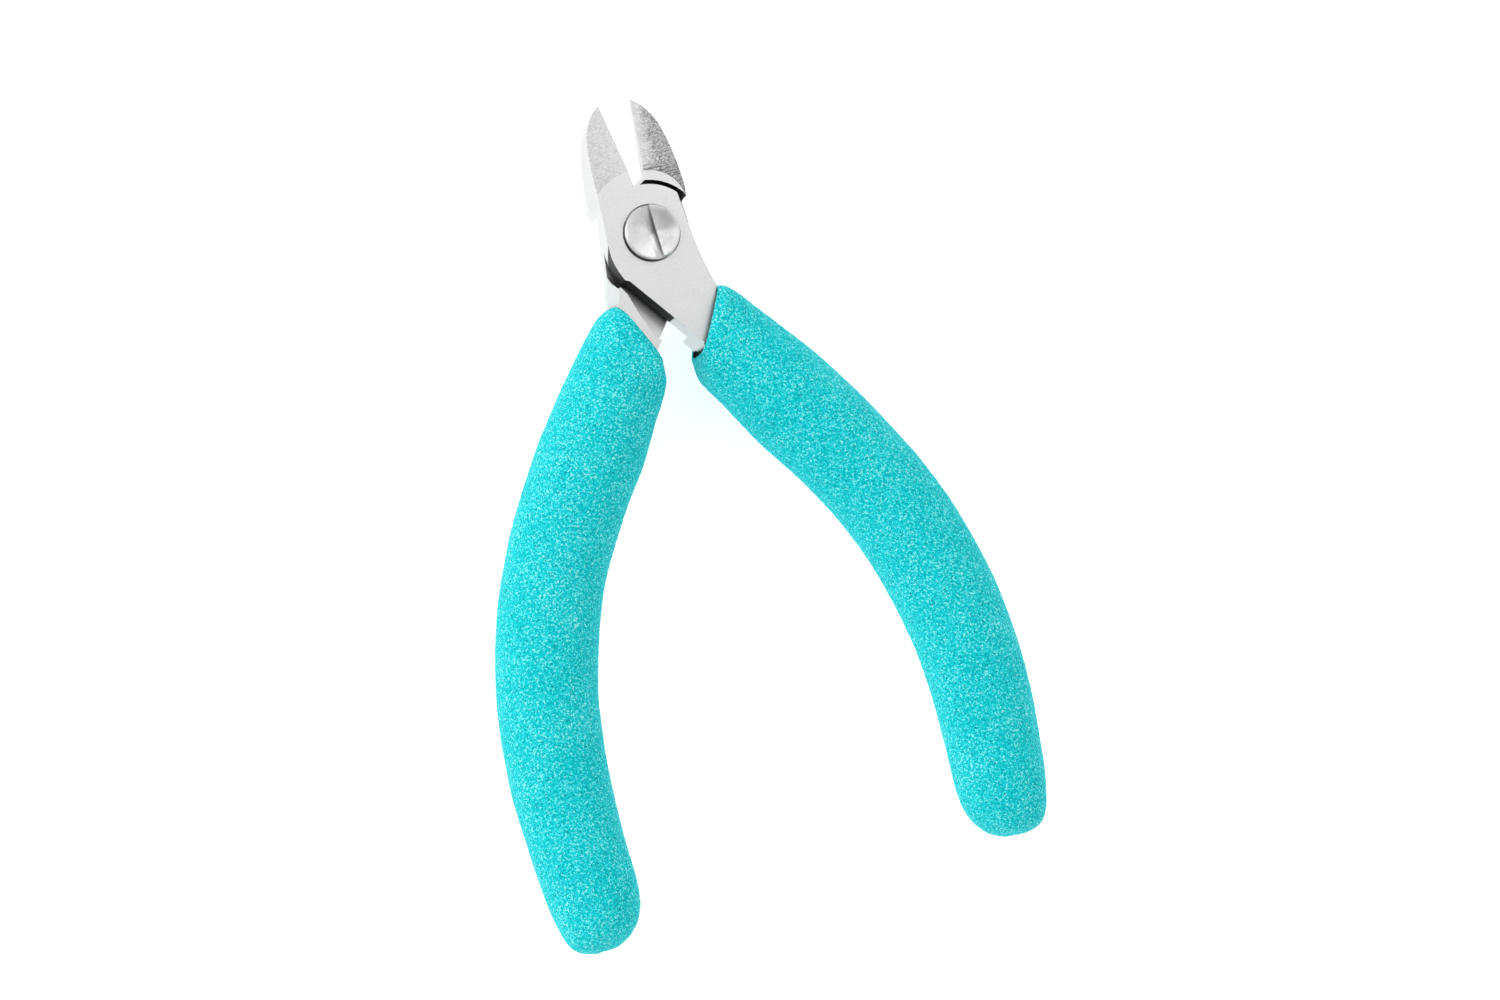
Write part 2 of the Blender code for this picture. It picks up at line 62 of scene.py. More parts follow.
# camera: where it stands from the joint, its turn, its lens and sensor, and its near and far limit
CAMERA_FROM_JOINT = (-231.15, -134.04, 951.10)
CAMERA_TURN_DEG = (8.7975, -12.1810, -14.4627)
CAMERA_LENS = 168.0
CAMERA_SENSOR = 36.0
CAMERA_CLIP_M = (0.05, 20.0)

# the tent's brightness, and its dark openings: a direction, and the angles from it at which the
# tent is dark and at which it is white again
TENT_LIGHT = 0.84
OPENING_LIGHT = 0.02
DARK_OPENINGS = ((CAMERA_FROM_JOINT, 14.0, 23.0), ((0.249, -0.173, 1.0), 6.0, 15.0))
# the floor's own glow
FLOOR_GLOW = 0.74
FLOOR_REACH_M = 3.0
# softboxes: place and width in metres, power in watts
KEY_SOFTBOX = ((-0.85, 0.45, 0.75), 0.7, 5.5)
TOP_SOFTBOX = ((0.36, 0.50, 1.15), 0.55, 1.1)

# handle: the grip's centreline in the lever's closed frame, as the model has it
HANDLE_START = (2.5, -11.5)
HANDLE_DEG = (27.7, -10.9)
BEND = (17.4, 83.8)
MOUTH_AT = 2.9
MOUTH_DEG = 29.0
MOUTH_FADE = 14.0
GRIP_LENGTH = {FRONT: 86.9, REAR: 89.2}
GRIP_SIDES = 120
GRIP_SPACING = 0.34         # between the skin's rings
BORE_SPACING = 2.0
LINE_REACH = 96.0           # the centreline is worked out a little past the longer grip

# distance from the mouth, reach on the inner side, reach on the palm side
GRIP_PROFILE = [(0.0, 5.1, 4.4), (0.9, 5.95, 5.0), (2.2, 6.55, 5.55), (5.0, 6.9, 6.2), (9.0, 7.0, 6.7),
                (13.0, 7.3, 7.1), (18.0, 7.5, 7.3), (26.0, 7.2, 7.3), (36.0, 7.1, 7.25), (50.0, 7.1, 7.1),
                (64.0, 6.9, 6.95), (73.0, 6.65, 6.7)]
# the same, but the distance is from the closed end
GRIP_END = [(9.0, 6.4, 6.5), (7.0, 6.2, 6.35), (5.0, 5.85, 6.1), (3.0, 4.95, 5.7), (1.6, 3.8, 5.1),
            (0.6, 2.5, 4.0), (0.0, 0.9, 2.4)]
MOUTH_LIFT = 0.9            # the blunt mouth stands this much higher than it is wide
MOUTH_LIFT_END = 3.2
ROUND = 2.0                 # how boxy a ring is: 2 is an ellipse, more is squarer
MOUTH_SQUARE = 1.2          # this much squarer at the mouth, fading out along the grip
MOUTH_SQUARE_END = 6.0
RIM_SQUARE = 3.6
BORE_SQUARE = 5.0
RIM_ROUGH = 0.6             # the rim's lumps, against the skin's
# the rolled rim and the hollow inside: distance from the mouth, inner and palm reach, half height
RIM_PROFILE = [(-0.16, 5.0, 4.32, 5.6), (-0.2, 4.75, 4.22, 5.5), (-0.08, 4.5, 4.15, 5.35)]
BORE_PROFILE = [(0.2, 4.3, 4.1, 5.2), (1.2, 4.2, 4.05, 5.0), (3.0, 3.9, 3.8, 4.3), (4.6, 3.6, 3.5, 3.6),
                (6.0, 3.3, 3.3, 2.87), (14.0, 2.95, 2.95, 2.87), (40.0, 2.75, 2.75, 2.87),
                (78.5, 2.4, 2.4, 2.87), (80.0, 1.6, 1.6, 2.0)]
# lumps of the skin: how many to a millimetre and how high; the skin is sunk to make room for them
SKIN_LUMPS = ((1.1, 0.05), (2.3, 0.045), (0.16, 0.10))
SKIN_SUNK = 0.05

# steel, in millimetres from the joint axis and the middle plane
STEEL_HALF = 3.75
GRIND_R = 9.25
GRIND_SLOPE = math.tan(math.radians(15.2))
LIP_CENTRE = (-0.5, 3.7)    # on the rear lever's face, in its own closed frame
LIP_R = 5.25
LAP_WALL_FACING = (-0.79, -0.61, 0.0)
LAP_WALL_REACH = 12.4
LAP_WALL_LEAN = 1.4         # the painted shade on the wall starts at a line that leans this much, z to y
LAP_WALL_START = 4.15
BORE_R = 4.3                # the screw's seat, kept free of the painted corner shade
SLOT_R = 4.0                # how far out the screw's slot has its walls painted dark as shade

# ground jaw fronts: darkest tone, lightest tone and share of the darker tone, then the streaks' size and
# turn
FRONT_JAW = ((0.45, 0.72, 0.25), (0.4, 0.12, 0.3), 28.0)
REAR_JAW = ((0.17, 0.70, 0.95), (0.34, 0.12, 0.3), 20.0)
WALL_TONE = {FRONT: 0.60, REAR: 0.54}

# sizes of the foam's marks, in millimetres
GRAIN = 0.33
FLECK = 0.17
HOLLOW = 0.48
PORE = 0.7

WELD_MM = 0.001
SMOOTH_BELOW_DEG = 13.0     # edges sharper than this stay edges
SPRING_SMOOTH_BELOW_DEG = 50.0


def smooth(value):
    value = min(1.0, max(0.0, value))
    return value * value * (3.0 - 2.0 * value)


# ---- foam grips --------------------------------------------------------------------------

def heading(distance):
    """The handle's direction, as an angle from straight down, at a distance along it."""
    share = smooth((distance - BEND[0]) / (BEND[1] - BEND[0]))
    return math.radians(HANDLE_DEG[0] + (HANDLE_DEG[1] - HANDLE_DEG[0]) * share)


def centreline_table(reach, step):
    """Points and headings along the handle's centreline."""
    x, y = HANDLE_START
    table = [(x, y, heading(0.0))]
    for i in range(int(reach / step)):
        turn = heading((i + 0.5) * step)
        x += math.sin(turn) * step
        y -= math.cos(turn) * step
        table.append((x, y, heading((i + 1) * step)))
    return table


LINE_STEP = 0.05
LINE = centreline_table(LINE_REACH, LINE_STEP)


def centreline(distance):
    return LINE[min(len(LINE) - 1, max(0, round(distance / LINE_STEP)))]


def through(rows, spacing):
    """Rows on a smooth line through a few rows (Catmull-Rom), about spacing apart."""
    line = []
    padded = [rows[0], *rows, rows[-1]]
    for a, b, c, d in zip(padded, padded[1:], padded[2:], padded[3:]):
        reach = max(abs(q - p) for p, q in zip(b, c))
        steps = max(2, math.ceil(reach / spacing))
        for i in range(steps):
            t = i / steps
            line.append([
                0.5 * (2 * q + (r - p) * t + (2 * p - 5 * q + 4 * r - s) * t * t
                       + (3 * q - p - 3 * r + s) * t ** 3)
                for p, q, r, s in zip(a, b, c, d)])
    return line + [list(rows[-1])]


def section(from_mouth, inner, outer, height, square, sides):
    """One ring across the grip, slanted near the mouth, in the lever's closed frame."""
    slant = math.radians(MOUTH_DEG * (1.0 - smooth(from_mouth / MOUTH_FADE)))
    x, y, turn = centreline(MOUTH_AT + from_mouth)
    across = turn + slant
    half = (inner + outer) / 2
    shift = (outer - inner) / 2
    ring = []
    for i in range(sides):
        angle = 2 * math.pi * i / sides
        c, s = math.cos(angle), math.sin(angle)
        u = (shift + math.copysign(abs(c) ** (ROUND / square), c) * half) / math.cos(slant)
        w = math.copysign(abs(s) ** (ROUND / square), s) * height
        ring.append((x + u * math.cos(across), y + u * math.sin(across), w))
    return ring


def foam_grip(name, side, node, body, foam, bore_shade):
    """A hollow foam sleeve: skin from the closed end to the mouth, rolled rim, then the bore."""
    sides = GRIP_SIDES
    length = GRIP_LENGTH[side]
    rows = GRIP_PROFILE + [(length - left, inner, outer) for left, inner, outer in GRIP_END]
    rings = []
    relief = []
    for d, inner, outer in reversed(through(rows, GRIP_SPACING)):
        square = ROUND + MOUTH_SQUARE * (1.0 - smooth(d / MOUTH_SQUARE_END))
        height = (inner + outer) / 2 + MOUTH_LIFT * (1.0 - smooth(d / MOUTH_LIFT_END))
        rings.append(section(d, inner, outer, height, square, sides))
        relief.append(1.0)
    for d, inner, outer, height in RIM_PROFILE:
        rings.append(section(d, inner, outer, height, RIM_SQUARE, sides))
        relief.append(RIM_ROUGH)
    # the bore's faces from here on get the near-black painted shade
    bore_shade_from = (len(rings) - 1) * sides
    for d, inner, outer, height in through(BORE_PROFILE, BORE_SPACING):
        rings.append(section(d, inner, outer, height, BORE_SQUARE, sides))
        relief.append(0.0)

    verts = [point for ring in rings for point in ring]
    faces = []
    for r in range(len(rings) - 1):
        for i in range(sides):
            j = (i + 1) % sides
            faces.append((r * sides + i, r * sides + j, (r + 1) * sides + j, (r + 1) * sides + i))
    last = len(rings) - 1
    for r in (0, last):
        centre = Vector((0, 0, 0))
        for point in rings[r]:
            centre += Vector(point) / sides
        verts.append(tuple(centre))
        hub = len(verts) - 1
        for i in range(sides):
            j = (i + 1) % sides
            a, b = (i, j) if r == last else (j, i)
            faces.append((hub, r * sides + a, r * sides + b))
    place = Matrix.Translation(JOINT) @ Matrix.Rotation(math.radians(side * HALF_OPEN_DEG), 4, "Z")
    points = [place @ (Vector((side * x, y, z)) * MM) for x, y, z in verts]
    if side == REAR:
        faces = [tuple(reversed(face)) for face in faces]
    mesh = bpy.data.meshes.new(name)
    mesh.from_pydata(points, [], faces)
    mesh.update()
    roughen(mesh, relief, sides)
    mesh.materials.append(foam)
    mesh.materials.append(bore_shade)
    closed_end = range(len(faces) - 2 * sides, len(faces) - sides)
    for face in mesh.polygons:
        face.material_index = int(face.index >= bore_shade_from and face.index not in closed_end)
    mesh.shade_smooth()
    obj = bpy.data.objects.new(name, mesh)
    bpy.context.scene.collection.objects.link(obj)
    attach(obj, body)
    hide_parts(node)


def roughen(mesh, relief, sides):
    """Small lumps and broad waves on the foam's skin, which never dips below the floor."""
    normals = [vertex.normal.copy() for vertex in mesh.vertices]
    for i, vertex in enumerate(mesh.vertices):
        ring = i // sides
        share = relief[ring] if ring < len(relief) else 0.0
        if share:
            place = vertex.co / MM
            lift = sum(noise.noise(place * rate) * height for rate, height in SKIN_LUMPS)
            vertex.co += normals[i] * (lift * share - SKIN_SUNK) * MM
            vertex.co.z = max(vertex.co.z, 0.0)
    mesh.update()


# ---- materials ---------------------------------------------------------------------------

class Nodes:
    """Short calls for building a material's nodes."""

    def __init__(self, name):
        self.material = bpy.data.materials.new(name)
        self.material.use_nodes = True
        self.tree = self.material.node_tree
        self.shader = self.tree.nodes["Principled BSDF"]
        self.place = self.add("ShaderNodeTexCoord").outputs["Object"]

    def add(self, kind, **settings):
        node = self.tree.nodes.new(kind)
        for key, value in settings.items():
            setattr(node, key, value)
        return node

    def link(self, value, socket):
        if isinstance(value, (int, float, tuple)):
            socket.default_value = value
        else:
            self.tree.links.new(value, socket)

    def math(self, operation, a, b=0.0):
        node = self.add("ShaderNodeMath", operation=operation)
        for value, socket in zip((a, b), node.inputs):
            self.link(value, socket)
        return node.outputs[0]

    def times(self, a, b):
        return self.math("MULTIPLY", a, b)

    def length(self, u, v):
        return self.math("SQRT", self.math("ADD", self.times(u, u), self.times(v, v)))

    def stretched(self, size_mm, turn_deg=0.0):
        """Object coordinates in units of size_mm, turned about Z."""
        node = self.add("ShaderNodeMapping", vector_type="TEXTURE")
        self.link(self.place, node.inputs["Vector"])
        node.inputs["Rotation"].default_value = (0.0, 0.0, math.radians(turn_deg))
        node.inputs["Scale"].default_value = [s * MM for s in size_mm]
        return node.outputs[0]

    def noise(self, size_mm, detail=2.0, turn_deg=0.0, distortion=0.0):
        size = (size_mm,) * 3 if isinstance(size_mm, (int, float)) else size_mm
        node = self.add("ShaderNodeTexNoise")
        self.link(self.stretched(size, turn_deg), node.inputs["Vector"])
        node.inputs["Scale"].default_value = 1.0
        node.inputs["Detail"].default_value = detail
        node.inputs["Distortion"].default_value = distortion
        return node.outputs["Fac"]

    def cells(self, size_mm):
        """Distance to the nearest of points about size_mm apart, in units of size_mm."""
        node = self.add("ShaderNodeTexVoronoi", feature="F1")
        self.link(self.stretched((size_mm,) * 3), node.inputs["Vector"])
        node.inputs["Scale"].default_value = 1.0
        return node.outputs["Distance"]

    def ramp(self, value, stops):
        """stops: (position, colour or grey)."""
        node = self.add("ShaderNodeValToRGB")
        self.link(value, node.inputs["Fac"])
        elements = node.color_ramp.elements
        while len(elements) < len(stops):
            elements.new(0.5)
        for element, (position, colour) in zip(elements, stops):
            element.position = position
            element.color = (*colour, 1.0) if isinstance(colour, tuple) else (colour,) * 3 + (1.0,)
        return node.outputs["Color"]

    def between(self, value, low, high):
        """0 at low and 1 at high, also where low is the greater."""
        node = self.add("ShaderNodeMapRange", clamp=True)
        self.link(value, node.inputs["Value"])
        node.inputs["From Min"].default_value = low
        node.inputs["From Max"].default_value = high
        return node.outputs["Result"]

    def mix(self, share, a, b):
        """a where share is 0, b where it is 1; a tone is a grey."""
        node = self.add("ShaderNodeMix", data_type="RGBA")
        self.link(share, node.inputs["Factor"])
        for value, socket in ((a, node.inputs[6]), (b, node.inputs[7])):
            if isinstance(value, float):
                value = (value, value, value, 1.0)
            elif isinstance(value, tuple):
                value = (*value, 1.0)
            self.link(value, socket)
        return node.outputs[2]

    def bump(self, height, depth_mm, strength, under=None):
        node = self.add("ShaderNodeBump")
        self.link(height, node.inputs["Height"])
        node.inputs["Distance"].default_value = depth_mm * MM
        node.inputs["Strength"].default_value = strength
        if under is not None:
            self.link(under, node.inputs["Normal"])
        return node.outputs["Normal"]

    def finish(self, **sockets):
        for name, value in sockets.items():
            self.link(value, self.shader.inputs[name.replace("_", " ").title()])
        return self.material


def foam_material():
    """Matt open-pored foam: pale flecks on turquoise, darker hollows and small open pores."""
    n = Nodes("turquoise_foam_skin")
    grain = n.noise(GRAIN, detail=2.0, distortion=0.5)
    fleck = n.noise(FLECK, detail=1.0)
    patches = n.noise(6.0, detail=1.0)
    mixed = n.math("ADD", n.times(grain, 0.6), n.times(fleck, 0.4))
    mixed = n.math("ADD", mixed, n.times(n.math("SUBTRACT", patches, 0.5), 0.07))
    colour = n.ramp(mixed, [(0.40, (0.0, 0.44, 0.48)), (0.47, (0.0, 0.59, 0.635)),
                            (0.52, (0.006, 0.68, 0.725)), (0.57, (0.06, 0.75, 0.79)),
                            (0.62, (0.32, 0.86, 0.88))])
    hollow = n.between(n.cells(HOLLOW), 0.30, 0.12)
    colour = n.mix(n.times(hollow, 0.75), colour, (0.0, 0.31, 0.36))
    pore = n.between(n.cells(PORE), 0.17, 0.09)
    colour = n.mix(n.times(pore, 0.85), colour, (0.0, 0.12, 0.15))
    sunk = n.math("ADD", n.times(hollow, 0.12), n.times(pore, 0.5))
    normal = n.bump(n.math("SUBTRACT", mixed, sunk), 0.2, 0.7)
    n.shader.inputs["Specular IOR Level"].default_value = 0.1
    return n.finish(base_color=colour, roughness=0.85, normal=normal, sheen_weight=0.03,
                    sheen_roughness=0.6)


def bore_shade_material():
    """The sleeve's bore, painted near-black as the shade inside the hollow."""
    n = Nodes("painted_bore_shade")
    smear = n.noise(0.9, detail=2.0)
    # painted shade: the bore is near-black
    colour = n.ramp(smear, [(0.35, (0.006, 0.016, 0.018)), (0.65, (0.014, 0.05, 0.055))])
    n.shader.inputs["Specular IOR Level"].default_value = 0.3
    return n.finish(base_color=colour, roughness=n.ramp(smear, [(0.3, 0.5), (0.7, 0.75)]),
                    normal=n.bump(smear, 0.1, 0.5))


def from_joint(n):
    """Distance from the joint axis, and x, y and z from the joint, in millimetres."""
    node = n.add("ShaderNodeVectorMath", operation="SUBTRACT")
    n.link(n.place, node.inputs[0])
    node.inputs[1].default_value = JOINT
    split = n.add("ShaderNodeSeparateXYZ")
    n.link(node.outputs[0], split.inputs[0])
    x, y, z = (n.times(split.outputs[i], 1 / MM) for i in range(3))
    return n.length(x, y), x, y, z


def crevices(n, reach_mm, low, high):
    """1 deep in a corner, 0 in the open: ambient occlusion, used to paint shade into corners."""
    node = n.add("ShaderNodeAmbientOcclusion", samples=6)
    node.inputs["Distance"].default_value = reach_mm * MM
    return n.between(node.outputs["AO"], high, low)


def uprightness(n):
    """1 on a vertical wall, 0 on a level face."""
    node = n.add("ShaderNodeNewGeometry")
    split = n.add("ShaderNodeSeparateXYZ")
    n.link(node.outputs["True Normal"], split.inputs[0])
    return n.between(n.math("ABSOLUTE", split.outputs[2]), 0.6, 0.2)


def lap_wall(n):
    """1 on the front lever's wall over the lap, painted near-black as shade, from its left flank to where
    the rear lever's neck ends.
    """
    radius, _, y, z = from_joint(n)
    normal = n.add("ShaderNodeNewGeometry").outputs["True Normal"]
    turned = n.add("ShaderNodeVectorTransform", vector_type="NORMAL", convert_from="WORLD",
                   convert_to="OBJECT")
    n.link(normal, turned.inputs[0])
    facing = n.add("ShaderNodeVectorMath", operation="DOT_PRODUCT")
    n.link(turned.outputs[0], facing.inputs[0])
    facing.inputs[1].default_value = LAP_WALL_FACING
    share = n.between(facing.outputs["Value"], 0.68, 0.78)
    share = n.times(share, n.between(radius, LAP_WALL_REACH + 0.1, LAP_WALL_REACH))
    leaning = n.math("SUBTRACT", z, n.times(y, LAP_WALL_LEAN))
    return n.times(share, n.between(leaning, LAP_WALL_START, LAP_WALL_START + 0.3))


def jaw_mask(n, side):
    """1 on the ground front of the jaw, and the distances across and along it from the joint."""
    radius, x, y, z = from_joint(n)
    drop = n.times(n.math("SUBTRACT", radius, GRIND_R), GRIND_SLOPE)
    plane = n.math("SUBTRACT", STEEL_HALF, drop)
    off = n.math("ABSOLUTE", n.math("SUBTRACT", z, plane))
    ground = n.times(n.between(radius, GRIND_R, GRIND_R + 0.1), n.between(off, 0.12, 0.06))
    turn = math.radians(HALF_OPEN_DEG) * side
    across = n.math("ADD", n.times(x, -side * math.cos(turn)), n.times(y, -side * math.sin(turn)))
    along = n.math("ADD", n.times(x, -math.sin(turn)), n.times(y, math.cos(turn)))
    if side == REAR:
        from_lip = n.length(n.math("SUBTRACT", across, -LIP_CENTRE[0]),
                            n.math("SUBTRACT", along, LIP_CENTRE[1]))
        past_lip = n.times(n.between(from_lip, LIP_R, LIP_R + 0.06), n.between(z, 3.0, 3.2))
        below_face = n.between(z, STEEL_HALF - 0.01, STEEL_HALF - 0.05)
        ground = n.math("MAXIMUM", ground, n.times(past_lip, below_face))
    return n.times(ground, n.between(y, 4.0, 5.0)), across, along


def lever_steel(name, side, jaw):
    """Bead-blasted steel: streaked, with darker patches, on the jaw's ground front, with shade painted
    dark into the corners and, on the front lever, over the lap.
    """
    (dark, light, dark_share), streak, turn = jaw
    n = Nodes(name)
    ground, across, along = jaw_mask(n, side)
    upright = uprightness(n)

    beads = n.noise(0.16, detail=2.0)
    cloud = n.noise(3.5, detail=2.0)
    brushed = n.noise((0.16, 2.2, 0.5), detail=2.0, turn_deg=-38.0)
    satin = n.ramp(beads, [(0.3, 0.70), (0.7, 0.80)])
    satin = n.mix(n.between(cloud, 0.35, 0.7), satin, n.mix(0.25, satin, (0.84, 0.84, 0.835)))
    satin = n.mix(n.times(n.between(brushed, 0.62, 0.75), 0.25), satin, 0.86)
    satin = n.mix(n.times(upright, 0.7), satin, WALL_TONE[side])

    streaks = n.noise(streak, detail=3.0, turn_deg=turn, distortion=0.5)
    dark_patches = n.noise(2.2, detail=2.0)
    bare = n.ramp(streaks, [(0.34, light - 0.16), (0.54, light), (0.68, light + 0.08)])
    dark_tone = n.ramp(streaks, [(0.39, dark), (0.53, (dark + light) / 2), (0.66, light)])
    # the darker tone spreads towards the jaw's outer edge and in random patches; the rear jaw is nearly
    # all darker
    share = n.math("ADD", n.between(across, 0.2, 2.6), n.math("SUBTRACT", dark_patches, 0.50))
    cut = n.mix(n.times(n.between(share, 0.1, 0.75), dark_share), bare, dark_tone)
    drag = n.noise((2.4, 0.13, 0.3), detail=2.0, turn_deg=turn - 18.0)
    foot = n.times(n.between(along, 10.3, 9.3), n.between(drag, 0.5, 0.56))
    cut = n.mix(n.times(foot, dark_share), cut, dark)
    colour = n.mix(ground, satin, cut)

    # painted shade: the base colour goes near-black deep in corners and beside upright walls, where shade
    # falls
    deep_corner_shade = n.times(crevices(n, 1.4, 0.35, 0.75), n.math("ADD", 0.2, n.times(upright, 0.55)))
    painted_corner_shade = n.math("MAXIMUM", deep_corner_shade, n.times(crevices(n, 1.0, 0.60, 0.84), 0.85))
    radius = from_joint(n)[0]
    colour = n.mix(n.times(painted_corner_shade, n.between(radius, BORE_R, BORE_R + 0.5)), colour, 0.03)

    rough = n.math("ADD", 0.33, n.times(beads, 0.08))
    rough = n.math("SUBTRACT", rough, n.times(upright, 0.12))
    metallic = 1.0
    if side == FRONT:
        # painted shade: the wall over the lap is painted near-black, and made duller and less metallic
        # with it
        painted_lap_shade = lap_wall(n)
        colour = n.mix(painted_lap_shade, colour, n.ramp(beads, [(0.3, 0.012), (0.7, 0.04)]))
        rough = n.math("ADD", rough, n.times(painted_lap_shade, 0.5))
        metallic = n.math("SUBTRACT", 1.0, painted_lap_shade)
    height = n.mix(ground, beads, streaks)
    normal = n.bump(height, 0.012, 0.5, edge_normal(n))
    return n.finish(base_color=colour, metallic=metallic, roughness=rough, normal=normal)


def edge_normal(n, radius_mm=0.05):
    """Edges broken by a fine rounding."""
    node = n.add("ShaderNodeBevel", samples=4)
    node.inputs["Radius"].default_value = radius_mm * MM
    return node.outputs["Normal"]


def turned_steel():
    """The screw: fine circular tool marks on bright steel with smudges, shade painted into its corners,
    and a slot whose walls are painted dark as shade.
    """
    n = Nodes("turned_head_steel")
    radius, _, _, z = from_joint(n)
    rings = n.add("ShaderNodeTexNoise", noise_dimensions="1D")
    n.link(n.times(radius, 9.0), rings.inputs["W"])
    rings.inputs["Scale"].default_value = 1.0
    rings.inputs["Detail"].default_value = 3.0
    fine = n.noise(0.16, detail=2.0)
    smudge = n.noise(1.5, detail=2.0)
    colour = n.ramp(rings.outputs["Fac"], [(0.3, 0.70), (0.7, 0.84)])
    colour = n.mix(n.between(fine, 0.45, 0.75), colour, n.mix(0.3, colour, 0.55))
    colour = n.mix(n.times(n.between(smudge, 0.5, 0.68), 0.4), colour, 0.5)
    in_slot = n.times(n.between(z, STEEL_HALF + 0.45, STEEL_HALF + 0.2),
                      n.between(radius, SLOT_R, SLOT_R - 0.2))
    upright = uprightness(n)
    # painted shade: darker in the corners
    colour = n.mix(n.times(crevices(n, 0.5, 0.2, 0.6), 0.3), colour, 0.10)
    colour = n.mix(n.times(in_slot, n.math("SUBTRACT", 1.0, upright)), colour, 0.76)
    # painted shade: the slot's upright walls are painted near-black
    colour = n.mix(n.times(n.times(in_slot, upright), 0.7), colour, 0.08)
    height = n.math("ADD", n.times(rings.outputs["Fac"], 0.7), n.times(fine, 0.3))
    normal = n.bump(height, 0.01, 0.6, edge_normal(n, 0.04))
    tangent = n.add("ShaderNodeTangent", direction_type="RADIAL", axis="Z")
    n.tree.links.new(tangent.outputs[0], n.shader.inputs["Tangent"])
    return n.finish(base_color=colour, metallic=1.0, roughness=0.34, normal=normal, anisotropic=0.8,
                    anisotropic_rotation=0.25)


def small_steel():
    """Washer, nut and spring: darker oiled steel with drawn marks."""
    n = Nodes("oiled_small_steel")
    drawn = n.noise((0.1, 0.1, 0.8), detail=2.0)
    blotch = n.noise(1.4, detail=2.0)
    colour = n.ramp(drawn, [(0.3, 0.42), (0.7, 0.56)])
    colour = n.mix(n.between(blotch, 0.4, 0.7), colour, n.mix(0.4, colour, (0.36, 0.35, 0.33)))
    normal = n.bump(drawn, 0.01, 0.5, edge_normal(n, 0.04))
    return n.finish(base_color=colour, metallic=1.0, roughness=0.3, normal=normal)


# ---- shading of the CAD nodes ------------------------------------------------------------

def smoothing_group():
    """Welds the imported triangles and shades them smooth, but for the sharper edges."""
    tree = bpy.data.node_groups.new("smooth_by_angle", "GeometryNodeTree")
    tree.interface.new_socket("Geometry", in_out="INPUT", socket_type="NodeSocketGeometry")
    tree.interface.new_socket("Geometry", in_out="OUTPUT", socket_type="NodeSocketGeometry")
    start = tree.nodes.new("NodeGroupInput")
    end = tree.nodes.new("NodeGroupOutput")
    weld = tree.nodes.new("GeometryNodeMergeByDistance")
    weld.inputs["Distance"].default_value = WELD_MM * MM
    strip = tree.nodes.new("GeometryNodeRemoveAttribute")
    strip.inputs["Name"].default_value = "custom_normal"
    faces = tree.nodes.new("GeometryNodeSetShadeSmooth")
    faces.domain = "FACE"
    edges = tree.nodes.new("GeometryNodeSetShadeSmooth")
    edges.domain = "EDGE"
    bend = tree.nodes.new("GeometryNodeInputMeshEdgeAngle")
    less = tree.nodes.new("FunctionNodeCompare")
    less.operation = "LESS_THAN"
    less.inputs["B"].default_value = math.radians(SMOOTH_BELOW_DEG)
    tree.links.new(start.outputs[0], weld.inputs["Geometry"])
    tree.links.new(weld.outputs["Geometry"], strip.inputs["Geometry"])
    tree.links.new(strip.outputs["Geometry"], faces.inputs["Geometry"])
    tree.links.new(faces.outputs["Geometry"], edges.inputs["Geometry"])
    tree.links.new(bend.outputs["Unsigned Angle"], less.inputs["A"])
    tree.links.new(less.outputs["Result"], edges.inputs["Shade Smooth"])
    tree.links.new(edges.outputs["Geometry"], end.inputs[0])
    return tree


def dress(node, material, group):
    """Gives a CAD node its material and its smooth shading."""
    obj = frame["nodes"][node]
    obj.data.materials[0] = material
    modifier = obj.modifiers.new("smooth", "NODES")
    modifier.node_group = group


def winding_spring(name, node, material):
    """A welded copy of the return spring, shaded smooth, standing in place of the hidden CAD node."""
    coil = bmesh.new()
    coil.from_mesh(frame["nodes"][node].data)
    bmesh.ops.remove_doubles(coil, verts=coil.verts, dist=WELD_MM * MM)
    mesh = bpy.data.meshes.new(name)
    coil.to_mesh(mesh)
    coil.free()
    if "custom_normal" in mesh.attributes:
        mesh.attributes.remove(mesh.attributes["custom_normal"])
    mesh.materials.append(material)
    mesh.shade_smooth()
    mesh.set_sharp_from_angle(angle=math.radians(SPRING_SMOOTH_BELOW_DEG))
    obj = bpy.data.objects.new(name, mesh)
    bpy.context.scene.collection.objects.link(obj)
    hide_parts(node)
    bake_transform(obj)


# ---- stage -------------------------------------------------------------------------------

def floor():
    """A white floor that glows like a light table."""
    mesh = bpy.data.meshes.new("floor")
    reach = FLOOR_REACH_M
    mesh.from_pydata([(-reach, -reach, 0), (reach, -reach, 0), (reach, reach, 0), (-reach, reach, 0)],
                     [], [(0, 1, 2, 3)])
    n = Nodes("pale_floor")
    soft = n.noise(60.0, detail=2.0)
    n.shader.inputs["Emission Color"].default_value = (1.0, 1.0, 1.0, 1.0)
    n.finish(base_color=n.ramp(soft, [(0.3, 0.58), (0.7, 0.62)]), roughness=0.9,
             emission_strength=FLOOR_GLOW)
    mesh.materials.append(n.material)
    obj = bpy.data.objects.new("floor", mesh)
    bpy.context.scene.collection.objects.link(obj)


def softbox(name, location, size, power):
    """A round lamp that faces the joint."""
    lamp = bpy.data.lights.new(name, "AREA")
    lamp.shape = "DISK"
    lamp.size = size
    lamp.energy = power
    obj = bpy.data.objects.new(name, lamp)
    obj.location = location
    obj.rotation_euler = (JOINT - Vector(location)).to_track_quat("-Z", "Y").to_euler()
    bpy.context.scene.collection.objects.link(obj)


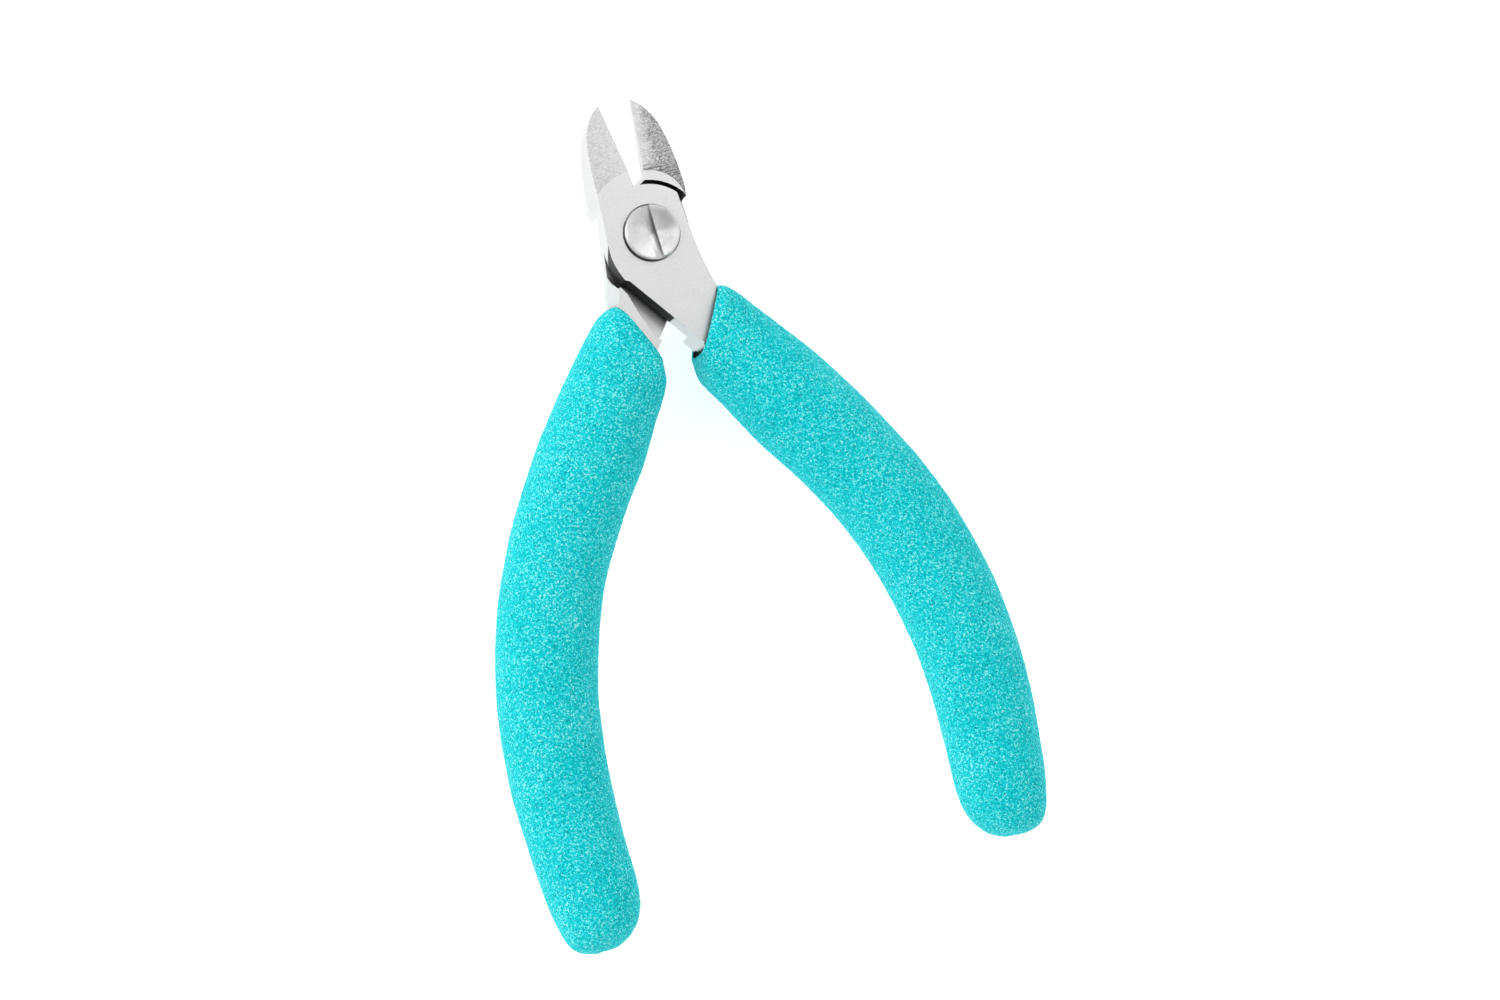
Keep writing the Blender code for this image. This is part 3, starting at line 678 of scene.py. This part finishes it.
def surroundings():
    """A white tent with dark openings."""
    world = bpy.data.worlds.new("tent")
    bpy.context.scene.world = world
    world.use_nodes = True
    tree = world.node_tree
    place = tree.nodes.new("ShaderNodeTexCoord")
    light = None
    for direction, dark_deg, clear_deg in DARK_OPENINGS:
        dot = tree.nodes.new("ShaderNodeVectorMath")
        dot.operation = "DOT_PRODUCT"
        dot.inputs[1].default_value = Vector(direction).normalized()
        tree.links.new(place.outputs["Generated"], dot.inputs[0])
        edge = tree.nodes.new("ShaderNodeMapRange")
        edge.interpolation_type = "SMOOTHSTEP"
        edge.inputs["From Min"].default_value = math.cos(math.radians(clear_deg))
        edge.inputs["From Max"].default_value = math.cos(math.radians(dark_deg))
        edge.inputs["To Min"].default_value = 1.0
        edge.inputs["To Max"].default_value = OPENING_LIGHT
        tree.links.new(dot.outputs["Value"], edge.inputs["Value"])
        if light is None:
            light = edge.outputs["Result"]
        else:
            both = tree.nodes.new("ShaderNodeMath")
            both.operation = "MULTIPLY"
            tree.links.new(light, both.inputs[0])
            tree.links.new(edge.outputs["Result"], both.inputs[1])
            light = both.outputs[0]
    background = tree.nodes["Background"]
    tree.links.new(light, background.inputs["Color"])
    background.inputs["Strength"].default_value = TENT_LIGHT


def camera():
    data = bpy.data.cameras.new("camera")
    data.lens = CAMERA_LENS
    data.sensor_width = CAMERA_SENSOR
    data.clip_start, data.clip_end = CAMERA_CLIP_M
    obj = bpy.data.objects.new("camera", data)
    obj.location = JOINT + Vector(CAMERA_FROM_JOINT) * MM
    obj.rotation_euler = Euler([math.radians(v) for v in CAMERA_TURN_DEG])
    bpy.context.scene.collection.objects.link(obj)
    bpy.context.scene.camera = obj


# ---- assembly ----------------------------------------------------------------------------

bpy.context.scene.view_settings.view_transform = "Standard"
camera()
surroundings()
softbox("key_softbox", *KEY_SOFTBOX)
softbox("top_softbox", *TOP_SOFTBOX)
floor()

group = smoothing_group()
dress("front_lever", lever_steel("front_lever_steel", FRONT, FRONT_JAW), group)
dress("rear_lever", lever_steel("rear_lever_steel", REAR, REAR_JAW), group)
dress("joint_screw", turned_steel(), group)
oiled_steel = small_steel()
for node in ("spring_washer", "lock_nut"):
    dress(node, oiled_steel, group)
winding_spring("wound_return_spring", "return_spring", oiled_steel)

foam = foam_material()
bore_shade = bore_shade_material()
foam_grip("front_foam_grip", FRONT, "front_grip", "front_half", foam, bore_shade)
foam_grip("rear_foam_grip", REAR, "rear_grip", "rear_half", foam, bore_shade)
